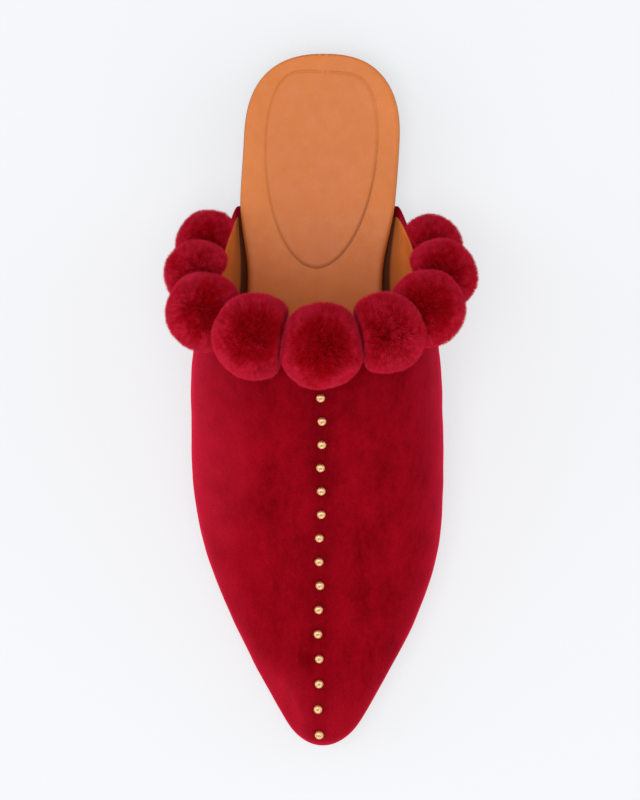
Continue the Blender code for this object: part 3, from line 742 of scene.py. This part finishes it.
def oval_half(t):
    """Half width of the oval. t is -1 at its front end, 0 where it is widest and 1 at its back end."""
    power = np.where(t < 0.0, OVAL_FRONT_POWER, OVAL_BACK_POWER)
    return OVAL_HALF_WIDTH * np.clip(1.0 - t * t, 0.0, 1.0) ** power


def in_oval(plan):
    """Distance of points in plan from the oval's outline, above 0 inside it."""
    x, y = plan[:, 0] - OVAL_X, plan[:, 1] - (OVAL_FROM_TOE - HALF_LENGTH)
    u = x * math.cos(OVAL_LEAN) - y * math.sin(OVAL_LEAN)
    v = x * math.sin(OVAL_LEAN) + y * math.cos(OVAL_LEAN)
    steps = 700
    t = np.sin(np.linspace(-RIGHT_ANGLE, RIGHT_ANGLE, steps))
    lengths = np.where(t < 0.0, OVAL_FRONT, OVAL_BACK) * t
    side = np.stack([oval_half(t), lengths], -1)
    outline = np.concatenate([side, side * (-1.0, 1.0)])
    inside = np.abs(u) < oval_half(np.clip(v / np.where(v < 0.0, OVAL_FRONT, OVAL_BACK), -1.0, 1.0))
    return nearest(np.stack([u, v], -1), outline) * np.where(inside, 1.0, -1.0)


def near_outline(depth, widths):
    """1 on the oval's outline, fading over one width outside it and over another inside."""
    outside, inside = widths
    return np.exp(-((depth / np.where(depth < 0.0, outside, inside)) ** 2))


def insole_underside(d, halves):
    """Rings of the insole's underside: its edge lies on the turned-in margin, its core sits down between."""
    foot = form_bottom(d)
    core = foot - INSOLE_SEAT * ramp(d, *CORE_SINKS)
    seat = foot - INSOLE_SEAT * ramp(d, *SEAT_SINKS)
    under = []
    for side, sign in (("in", 1.0), ("out", -1.0)):
        bottom = along(f"bottom_{side}", d)
        rounding = insole_rounding(d, side)
        margin = np.minimum(MARGIN_WIDTH, MARGIN_SHARE * bottom) + CORE_CLEARANCE
        inner = np.maximum(bottom - margin, CORE_LEAST_SHARE * bottom) * rounding
        ring = [(halves[side], seat), (inner + CORE_TAPER * rounding, seat), (inner, core)]
        ring = ring if side == "in" else ring[::-1]
        under += [np.stack([sign * w, d - HALF_LENGTH, h], -1) for w, h in ring]
    return np.stack(under, 1)


def build_insole(leather):
    """Covered footbed: softly dished, rounded all round its edge, with the pressed oval at the heel."""
    extra = np.concatenate([np.arange(*OVAL_ROWS), SEAT_SINKS])
    d = stations(INSOLE_INSET, 0.0, steps_toe=10, steps_middle=60, steps_heel=44, extra=extra)
    flat_columns, edge_columns = 66, 9
    turn = RIGHT_ANGLE * np.linspace(0.0, 1.0, edge_columns)
    near_edge = 1.0 - INSOLE_EDGE_SHARE * (1.0 - np.sin(turn))
    side_shares = np.concatenate([np.linspace(0.0, INSOLE_FLAT_SHARE, flat_columns), near_edge])
    shares = np.concatenate([-side_shares[:0:-1], side_shares])
    halves = {side: insole_half(d, side) for side in ("out", "in")}
    x = np.where(shares < 0.0, halves["out"][:, None] * shares, halves["in"][:, None] * shares)
    y = np.broadcast_to(d[:, None] - HALF_LENGTH, x.shape)
    plan = np.stack([x, y], -1).reshape(-1, 2)
    outline = np.concatenate([np.stack([w, d - HALF_LENGTH], -1) for w in (-halves["out"], halves["in"])])
    to_edge = nearest(plan, outline)
    from_edge = np.minimum(to_edge, INSOLE_EDGE)
    drop = INSOLE_EDGE - np.sqrt(INSOLE_EDGE**2 - (INSOLE_EDGE - from_edge) ** 2)
    full = np.minimum(halves["out"], halves["in"])[:, None] / DISH_FULL_HALF
    dish = INSOLE_DISH * (1.0 - shares**2) * np.minimum(full, 1.0)
    depth = in_oval(plan)
    floor = OVAL_FLOOR * ramp(depth, 0.0, OVAL_FLOOR_SLOPE)
    pressed_in = np.maximum(near_outline(depth, OVAL_GROOVE), floor)
    surface = form_bottom(d)[:, None] + INSOLE_OVER_FORM - dish
    z = surface.reshape(-1) - drop - OVAL_DEPTH * pressed_in
    level = np.stack([plan[:, 0], plan[:, 1], np.zeros(len(plan))], -1)
    z += lumps(level, INSOLE_LUMPS, seed=8)
    top = np.stack([plan[:, 0], plan[:, 1], z], -1).reshape(len(d), len(shares), 3)
    rings = np.concatenate([top, insole_underside(d, halves)], 1)
    count, width = rings.shape[:2]
    mesh = new_mesh("insole_cover", rings.reshape(-1, 3), tube(count, width), leather)

    crisp_from = OVAL_CRISP_FROM_TOE + OVAL_CRISP_SLANT * np.clip(x / OVAL_CRISP_HALF, -1.0, 1.0)
    crisp = ramp(d[:, None], crisp_from, crisp_from - OVAL_CRISP_LENGTH)
    strength = OVAL_LINE_FAINT + (1.0 - OVAL_LINE_FAINT) * crisp
    # painted shade where the edge turns down, in a band along the edge inside the collar, and on the
    # underside
    in_collar = ramp(d, CORNER_FROM_TOE, CORNER_FROM_TOE - INSOLE_COLLAR_SHADE_FADE)[:, None]
    collar_shade = INSOLE_COLLAR_SHADE * in_collar * ramp(to_edge.reshape(x.shape), INSOLE_COLLAR_SHADE_BAND, 0.0)
    edge_shade = ramp(drop / INSOLE_EDGE, *INSOLE_EDGE_SHADE).reshape(x.shape)
    on_top = {
        "pressed": near_outline(depth, OVAL_LINE).reshape(x.shape) * strength,
        "stamped": ramp(depth, 0.0, OVAL_STAMP_SLOPE).reshape(x.shape),
        "edge": np.maximum(edge_shade, collar_shade),
    }
    for name, values in on_top.items():
        below = np.full((count, width - len(shares)), 1.0 if name == "edge" else 0.0)
        set_marks(mesh, {name: np.concatenate([values, below], 1).reshape(-1)})
    cover = new_piece("insole_cover", mesh, ["insole"])


def build_outsole(leather):
    """Thin sole with rounded edges, toe spring, arch and a low heel in one piece."""
    breast_rows, edge_columns = 9, 5
    breast_end = HEEL_BREAST + BREAST_DEPTH + SOLE_BREAST_MARGIN
    breast = np.linspace(HEEL_BREAST - SOLE_BREAST_MARGIN, breast_end, breast_rows)
    extra = np.concatenate([breast, [SPRING_FROM, ARCH_FROM]])
    d = stations(
        SOLE_MARGIN_TOE, -SOLE_MARGIN_HEEL, steps_toe=12, steps_middle=110, steps_heel=26, extra=extra
    )
    share = ramp(d, *MARGIN_CHANGE)
    margin = SOLE_MARGIN_TOE + (SOLE_MARGIN_HEEL - SOLE_MARGIN_TOE) * share
    under, over = sole_under(d), sole_over(d)
    turn = RIGHT_ANGLE * np.linspace(0.0, 1.0, edge_columns)
    rings = []
    for side, sign in (("in", 1.0), ("out", -1.0)):
        rounding = toe_rounding(d, SOLE_MARGIN_TOE) * heel_rounding(d, side, -SOLE_MARGIN_HEEL)
        half = (along(f"bottom_{side}", d) + margin) * rounding
        trim = np.minimum(SOLE_EDGE, half / 3.0)
        inner = half - trim
        ring = [(half * 0.5, over)]
        for t in turn:
            ring.append((inner + trim * math.sin(t), over - SOLE_EDGE * SOLE_TOP_EDGE * (1.0 - math.cos(t))))
        for t in turn:
            ring.append((inner + trim * math.cos(t), under + SOLE_EDGE * (1.0 - math.sin(t))))
        ring.append((half * 0.5, under))
        ring = ring if side == "in" else ring[::-1]
        rings += [np.stack([sign * w, d - HALF_LENGTH, h], -1) for w, h in ring]
    rings = np.stack(rings, 1)
    count, width = rings.shape[:2]
    mesh = new_mesh("outsole_leather", rings.reshape(-1, 3), tube(count, width), leather)
    mesh.set_sharp_from_angle(angle=math.radians(50.0))
    new_piece("outsole_leather", mesh, ["outsole"])


# Studs
STUD_HEAD_DIAMETER = 3.3  # a little slimmer and higher than the plain dome of the solids
STUD_HEAD_HEIGHT = 1.6
STUD_SIDES = 36
STUD_SINK = 0.5  # share of the velvet's hollow that a head sinks into
STUD_HOLLOW_REFLECTION = (0.42, 0.22)  # shares of the head's radius between which the hollow of its crown gets a painted dark reflection
# Radius and height of the turned outline from foot to crown, as shares of the head's
STUD_OUTLINE = (
    (0.0, -0.25),
    (0.86, -0.25),
    (0.96, 0.10),
    (1.0, 0.30),
    (0.97, 0.50),
    (0.88, 0.70),
    (0.74, 0.86),
    (0.60, 0.96),
    (0.46, 1.0),
    (0.34, 0.97),
    (0.20, 0.84),
    (0.0, 0.78),
)


def build_studs(brass):
    """One turned stud with a rounded rim and a small hollow in its crown, set along the ridge."""
    radius = STUD_HEAD_DIAMETER / 2.0
    turn = np.linspace(0.0, 2.0 * math.pi, STUD_SIDES, endpoint=False)
    foot, *between, crown = STUD_OUTLINE
    rings = []
    for r, z in between:
        level = np.full(STUD_SIDES, z * STUD_HEAD_HEIGHT)
        rings.append(np.stack([r * radius * np.cos(turn), r * radius * np.sin(turn), level], -1))
    ends = [(0.0, 0.0, z * STUD_HEAD_HEIGHT) for _, z in (foot, crown)]
    points = np.concatenate([*rings, ends])
    last = (len(rings) - 1) * STUD_SIDES
    foot_point = len(rings) * STUD_SIDES
    faces = []
    for k in range(STUD_SIDES):
        n = (k + 1) % STUD_SIDES
        for low in range(0, last, STUD_SIDES):
            high = low + STUD_SIDES
            faces.append((low + k, low + n, high + n, high + k))
        faces.append((foot_point, n, k))
        faces.append((foot_point + 1, last + k, last + n))
    mesh = new_mesh("stud", points, faces, brass)
    from_axis = np.hypot(points[:, 0], points[:, 1]) / radius
    # painted dark reflection in the hollow of the crown
    set_marks(mesh, {"hollow_reflection": ramp(from_axis, *STUD_HOLLOW_REFLECTION) * (points[:, 2] > 0.0)})
    for number, (d, around) in enumerate(zip(*stud_seats()), start=1):
        direction = outward(d, around, OUTER)
        place = form(d, around, OUTER) + direction * (GAP - STUD_DIMPLE * STUD_SINK)
        name = f"stud_{number:02d}"
        new_piece(f"{name}_head", mesh, [name], place, direction)


# Pompoms
SQUEEZE_SOFTNESS = 1.1  # how softly a pompom's face turns where it meets its neighbours
WALL_SOFTNESS = 0.35  # and where it lies on the upper
LEAST_FACING = 0.05  # least share of a direction that counts as facing a plane
FAR_OFF = 1e3
BULGE = 0.25  # share of its radius, past the collar's edge, over which a pompom bulges to its full round
PILE_OVER = 0.4  # how far the pile stands past the ball of the solids
PILE_DEPTH = 3.0  # how far the fibres stand out of a pompom's dense core
PILE_LUMPS = ((0.018, 17.0), (0.006, 5.0))  # as shares of the radius
FIBRES_PER_MM2 = 11.5
FIBRE_WIDTH = 0.26  # at the root
FIBRE_SINK = 0.1  # how deep a root is in the core
FIBRE_UNEVEN = (-0.4, 0.25)  # how far fibre ends stay back or stand out
FIBRE_JITTER = 0.12  # how far roots stray from even spacing
FIBRE_SCATTER = 0.6  # how far single fibre ends stray sideways
COMB = 0.5  # how far they lean together in one drift
COMB_SIZE = 12.0
TUFT_PULL = 0.45  # how far they lean together in tufts
TUFT_SIZE = 2.6
NAP_SWAY = 8.0  # how far the lean turns their shading
FIBRE_ROUND = 1.2  # how round a fibre is shaded, besides like the face of the ball
FIBRE_CORNERS = np.radians((0.0, 120.0, 240.0))
PRESSED_SHARE = 0.57  # where the upper presses a pompom flatter than this, no fibres show
TINT_LEVEL = 0.62  # of the pile, with its patches as strengths and sizes, and how much single fibres differ
TINT_PATCHES = ((0.24, 11.0), (0.26, 4.0), (0.22, 2.2))
TINT_SCATTER = 0.14
CROWN_SHADE_RISE = (0.55, 0.95)  # how far up the ball the painted shade of its crown starts and is deepest
CROWN_SHADE = 0.65  # how much deeper a crown's tint is painted as shade, if not set for its place
CROWN_SHADE_AT = {
    "side_outer": 0.35,
    "front_outer": 0.95,
    "throat": 1.0,
    "front_inner": 0.45,
    "flank_inner": 0.8,
    "rear_inner": 0.3,
}
SEED = 11
SEEDS_EACH = 20  # seeds kept for one pompom
LUMPS_SEED, PATCHES_SEED, COMB_SEED, TUFT_SEED = 1, 3, 6, 9  # first seeds of its parts


def spread_over_ball(count):
    """Directions spread evenly over a ball, on a spiral."""
    k = np.arange(count)
    z = 1.0 - (2.0 * k + 1.0) / count
    turn = math.pi * (3.0 - math.sqrt(5.0)) * k
    ring = np.sqrt(1.0 - z * z)
    return np.stack([ring * np.cos(turn), ring * np.sin(turn), z], -1)


def around_at(turn):
    """Value of around at an angle from the ridge: 90 degrees is the widest level and 180 the bottom edge."""
    quarters = abs(turn) / 90.0
    arch = (1.0 - FLARE_SHARE) * min(quarters, 1.0)
    flare = FLARE_SHARE * max(quarters - 1.0, 0.0)
    return math.copysign(arch + flare, turn)


def pompom_seats():
    """Each pompom with its middle, outward direction and way to the collar's edge, in order round it."""
    on_cut = np.array([0.0, THROAT_FROM_TOE - HALF_LENGTH, THROAT_HEIGHT])
    seats = []
    for pompom in POMPOMS:
        around = around_at(pompom.turn)
        d = collar(around, OUTER) - pompom.seam
        direction = outward(d, around, OUTER)
        point = form(d, around, OUTER)
        over = unit(COLLAR_CUT - direction * (direction @ COLLAR_CUT))
        to_edge = over * ((on_cut - point) @ COLLAR_CUT) / (over @ COLLAR_CUT)
        middle = point + direction * pompom.lift * pompom.diameter / 2.0
        seats.append((pompom, middle, direction, to_edge))
    return seats


def soft_least(reaches, softness):
    """The least of several reaches, rounded where they cross."""
    least = np.min(reaches, 0)
    return least - softness * np.log(np.exp((least - np.array(reaches)) / softness).sum(0))


def to_plane(directions, towards, distance):
    """Reach in directions to a plane that lies towards one of them, at a distance."""
    facing = directions @ towards
    return np.where(facing > LEAST_FACING, distance / np.maximum(facing, LEAST_FACING), FAR_OFF)


def squeezed(directions, radius, wall, sides):
    """Reach of a ball in directions, pressed flat on the wall that it is sewn to and towards each neighbour.
    Past the wall's edge it bulges over."""
    inward, depth, to_edge = wall
    facing = np.maximum(directions @ inward, LEAST_FACING)
    past = directions @ unit(to_edge) / facing * depth - np.linalg.norm(to_edge)
    free = ramp(past, 0.0, BULGE * radius)
    pressed = to_plane(directions, inward, depth)
    on_wall = pressed + (np.maximum(radius, pressed) - pressed) * free
    reaches = [np.full(len(directions), radius)]
    reaches += [to_plane(directions, towards, distance) for towards, distance in sides]
    return soft_least([soft_least(reaches, SQUEEZE_SOFTNESS), on_wall], WALL_SOFTNESS)


def plush(radius, wall, sides, crown_shade, seed):
    """One pompom: a dense core, and fibres that stand out of it as thin spikes and lean together in tufts.
    Gives its points, faces, marks for the material, and the directions that its points are shaded by."""
    rng = np.random.default_rng(seed)

    def surface(directions):
        uneven = lumps(directions * radius, PILE_LUMPS, seed + LUMPS_SEED)
        return squeezed(directions, radius + PILE_OVER, wall, sides) * (1.0 + uneven)

    def patches(directions):
        return TINT_LEVEL + lumps(directions * radius, TINT_PATCHES, seed + PATCHES_SEED)

    def drift(directions, size, first):
        return np.stack([waves(directions * radius, size, seed + first + k) for k in range(3)], -1)

    build = bmesh.new()
    bmesh.ops.create_icosphere(build, subdivisions=4, radius=1.0)
    directions = unit(np.array([v.co for v in build.verts]))
    faces = [[v.index for v in f.verts] for f in build.faces]
    build.free()
    core = directions * (surface(directions) - PILE_DEPTH)[:, None]

    count = int(4.0 * math.pi * radius**2 * FIBRES_PER_MM2)
    axes = unit(spread_over_ball(count) + rng.normal(0.0, FIBRE_JITTER / radius, (count, 3)))
    axes = axes[squeezed(axes, radius, wall, ()) > PRESSED_SHARE * radius]
    count = len(axes)
    roots = axes * (surface(axes) - PILE_DEPTH - FIBRE_SINK)[:, None]
    sway = COMB * drift(axes, COMB_SIZE, COMB_SEED) + TUFT_PULL * drift(axes, TUFT_SIZE, TUFT_SEED)
    ends = unit(axes * radius + (sway + rng.normal(0.0, FIBRE_SCATTER, (count, 3))))
    tips = ends * (surface(ends) + rng.uniform(*FIBRE_UNEVEN, count))[:, None]
    way = unit(tips - roots)
    first_side = unit(np.cross(way, rng.normal(size=(count, 3))))
    second_side = np.cross(way, first_side)
    facing = unit(axes * radius + NAP_SWAY * sway)
    spikes, shading = [], []
    for turn in FIBRE_CORNERS:
        away = first_side * math.cos(turn) + second_side * math.sin(turn)
        spikes.append(roots + away * FIBRE_WIDTH / 2.0)
        shading.append(unit(facing + FIBRE_ROUND * away))
    spikes = np.stack([*spikes, tips], 1)
    shading = np.stack([*shading, facing], 1)
    # painted shade: each pompom's crown is darker than its sides
    crown = crown_shade * ramp(ends[:, 2], *CROWN_SHADE_RISE)
    fibre_tint = np.clip(patches(ends) - crown + rng.normal(0.0, TINT_SCATTER, count), 0.0, 1.0)

    start = len(core) + 4 * np.arange(count)[:, None]
    sides_of_spike = np.array([(0, 1, 3), (1, 2, 3), (2, 0, 3)])
    triangles = (start[:, None, :] + sides_of_spike[None]).reshape(-1, 3).tolist()
    # tip runs from painted shade at the roots and in the core to 1 at the light tips
    marks = {
        "tint": np.concatenate([np.clip(patches(directions), 0.0, 1.0), np.repeat(fibre_tint, 4)]),
        "tip": np.concatenate([np.zeros(len(core)), np.tile([0.0, 0.0, 0.0, 1.0], count)]),
    }
    points = np.concatenate([core, spikes.reshape(-1, 3)])
    return points, faces + triangles, marks, np.concatenate([directions, shading.reshape(-1, 3)])


def build_pompoms(pile):
    seats = pompom_seats()
    for i, (pompom, middle, direction, to_edge) in enumerate(seats):
        radius = pompom.diameter / 2.0
        wall = (-direction, pompom.lift * pompom.diameter / 2.0 - GAP, to_edge)
        sides = []
        for neighbour in (i - 1, i + 1):
            if 0 <= neighbour < len(seats):
                other, other_middle = seats[neighbour][:2]
                between = other_middle - middle
                far = np.linalg.norm(between)
                strength = pompom.push * pompom.diameter
                share = strength / (strength + other.push * other.diameter)
                sides.append((between / far, far * share))
        # strength of the painted shade on this pompom's crown
        crown_shade = CROWN_SHADE_AT.get(pompom.place, CROWN_SHADE)
        points, faces, marks, shading = plush(radius, wall, sides, crown_shade, SEED + SEEDS_EACH * i)
        node = f"pompom_{pompom.place}"
        mesh = new_mesh(f"{node}_pile", points, faces, pile, outward_faces=False)
        set_marks(mesh, marks)
        mesh.normals_split_custom_set_from_vertices(shading.tolist())
        new_piece(f"{node}_pile", mesh, [node], middle)


# Stage, in metres and watts
FLOOR_HALF = 4.0
FLOOR_DROP = 0.0002  # keeps the floor's face clear of the sole's
LIGHTS = (
    ("top", (-0.25, -0.15, 1.8), 14.0),
    ("side", (-1.5, 0.1, 0.6), 5.0),
    ("fill", (1.5, 0.2, 0.7), 4.0),
    ("toe", (0.1, -1.4, 0.9), 6.0),
)
CAMERA_AIM = (-0.001, 0.0, 0.02)
CAMERA_DISTANCE = 2.4
SEEN_HEIGHT = 0.295  # height of the view at that distance


def build_stage():
    """Pale paper floor, even sky, four soft lights, and the camera straight above with the toe down."""
    mesh = bpy.data.meshes.new("floor")
    corners = [(x * FLOOR_HALF, y * FLOOR_HALF, 0.0) for x, y in ((-1, -1), (1, -1), (1, 1), (-1, 1))]
    mesh.from_pydata(corners, [], [(0, 1, 2, 3)])
    glow = {"Emission_Color": (0.975, 0.985, 1.0, 1.0), "Emission_Strength": 0.61}
    grey = (0.30, 0.305, 0.315, 1.0)
    paper = Shader("floor_paper", Base_Color=grey, Roughness=0.9, Specular_IOR_Level=0.0, **glow)
    mesh.materials.append(paper.material)
    floor = place_in_scene("floor", mesh)
    floor.location.z = -FLOOR_DROP

    world = bpy.data.worlds.new("studio")
    world.use_nodes = True
    sky = world.node_tree.nodes["Background"]
    sky.inputs["Color"].default_value = (0.98, 0.985, 1.0, 1.0)
    sky.inputs["Strength"].default_value = 0.55
    bpy.context.scene.world = world

    for name, place, power in LIGHTS:
        light = bpy.data.lights.new(name, "AREA")
        light.size = 1.2
        light.energy = power
        lamp = place_in_scene(name, light)
        lamp.location = place
        lamp.rotation_euler = (-Vector(place)).to_track_quat("-Z", "Y").to_euler()
        lamp.visible_camera = False

    camera = bpy.data.cameras.new("camera")
    camera.sensor_width = 36.0
    camera.lens = camera.sensor_width * CAMERA_DISTANCE / SEEN_HEIGHT
    eye = place_in_scene("camera", camera)
    eye.location = Vector(CAMERA_AIM) + Vector((0.0, 0.0, CAMERA_DISTANCE))
    bpy.context.scene.camera = eye
    bpy.context.scene.view_settings.view_transform = "Standard"


build_stage()
insole_leather = leather_material("insole_leather", INSOLE_TAN, pore_size=0.7, roughness=0.46, gloss=0.35)
lining_leather = leather_material("lining_leather", LINING_TAN, pore_size=0.9, roughness=0.6, gloss=0.12)
build_upper(velvet_material(), lining_leather)
build_insole(insole_leather)
build_outsole(sole_material())
build_studs(brass_material())
build_pompoms(pile_material())
